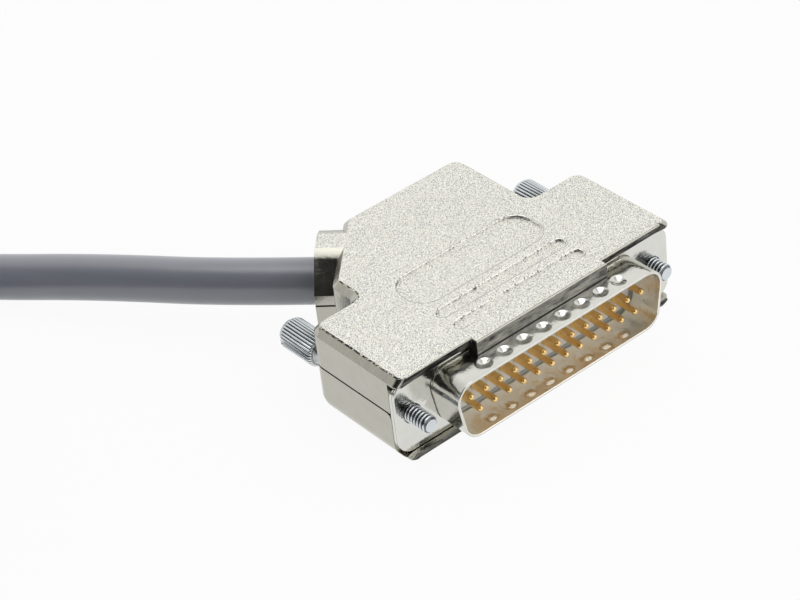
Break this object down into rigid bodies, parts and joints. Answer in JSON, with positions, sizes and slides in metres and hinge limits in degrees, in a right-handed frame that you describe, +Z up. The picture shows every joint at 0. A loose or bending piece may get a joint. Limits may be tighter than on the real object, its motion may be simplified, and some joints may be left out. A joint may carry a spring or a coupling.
{
  "type": "d-sub hood",
  "caption": "Metal-hooded D-sub plug with knurled jackscrews, angled cable exit and a put-away coil of round cable.",
  "frame": {"origin": "centre of the plug's flange, on its front face, midway between the two jackscrews", "axes": "-Y is the mating direction, +X runs along the flange, +Z is up through the hood's grained top"},
  "size_m": [0.1676, 0.1331, 0.0284],
  "materials": {
    "die_cast": "satin nickel on die-cast zinc, grained top",
    "shell_plate": "bright nickel on drawn steel",
    "insulator": "pale glass-filled polyester",
    "contact_gold": "gold flash on turned brass",
    "screw_steel": "nickel-plated turned steel",
    "spring_steel": "plain spring steel",
    "jacket": "grey extruded PVC jacket",
    "conductors": "bundle of insulated cores",
    "tie": "black woven strap"
  },
  "bodies": {
    "hood": {"upper_shell": "die_cast", "lower_shell": "die_cast", "clamp_saddle": "die_cast", "front_shell": "shell_plate", "rear_shell": "shell_plate", "front_insulator": "insulator", "rear_insulator": "insulator", "contact_01": "contact_gold", "contact_02": "contact_gold", "contact_03": "contact_gold", "contact_04": "contact_gold", "contact_05": "contact_gold", "contact_06": "contact_gold", "contact_07": "contact_gold", "contact_08": "contact_gold", "contact_09": "contact_gold", "contact_10": "contact_gold", "contact_11": "contact_gold", "contact_12": "contact_gold", "contact_13": "contact_gold", "contact_14": "contact_gold", "contact_15": "contact_gold", "contact_16": "contact_gold", "contact_17": "contact_gold", "contact_18": "contact_gold", "contact_19": "contact_gold", "contact_20": "contact_gold", "contact_21": "contact_gold", "contact_22": "contact_gold", "contact_23": "contact_gold", "contact_24": "contact_gold", "contact_25": "contact_gold", "case_screws": "screw_steel", "clamp_screws": "screw_steel", "cable": "jacket", "cable_coil": "jacket", "wire_loom": "conductors", "bare_end": "conductors", "coil_tie": "tie"},
    "left_clip": {"retaining_clip_left": "spring_steel"},
    "left_screw": {"thumb_screw_left": "screw_steel"},
    "right_clip": {"retaining_clip_right": "spring_steel"},
    "right_screw": {"thumb_screw_right": "screw_steel"}
  },
  "joints": [
    {"name": "left_screw_slide", "type": "slide", "parent": "hood", "child": "left_clip", "axis": [0, 1, 0], "range_m": [-0.00074, 0.00395]},
    {"name": "left_screw_turn", "type": "hinge", "parent": "left_clip", "child": "left_screw", "pos_m": [-0.02352, 0.02, 0], "axis": [0, 1, 0], "continuous": true},
    {"name": "right_screw_slide", "type": "slide", "parent": "hood", "child": "right_clip", "axis": [0, 1, 0], "range_m": [-0.00174, 0.00295]},
    {"name": "right_screw_turn", "type": "hinge", "parent": "right_clip", "child": "right_screw", "pos_m": [0.02352, 0.02, 0], "axis": [0, 1, 0], "continuous": true}
  ]
}
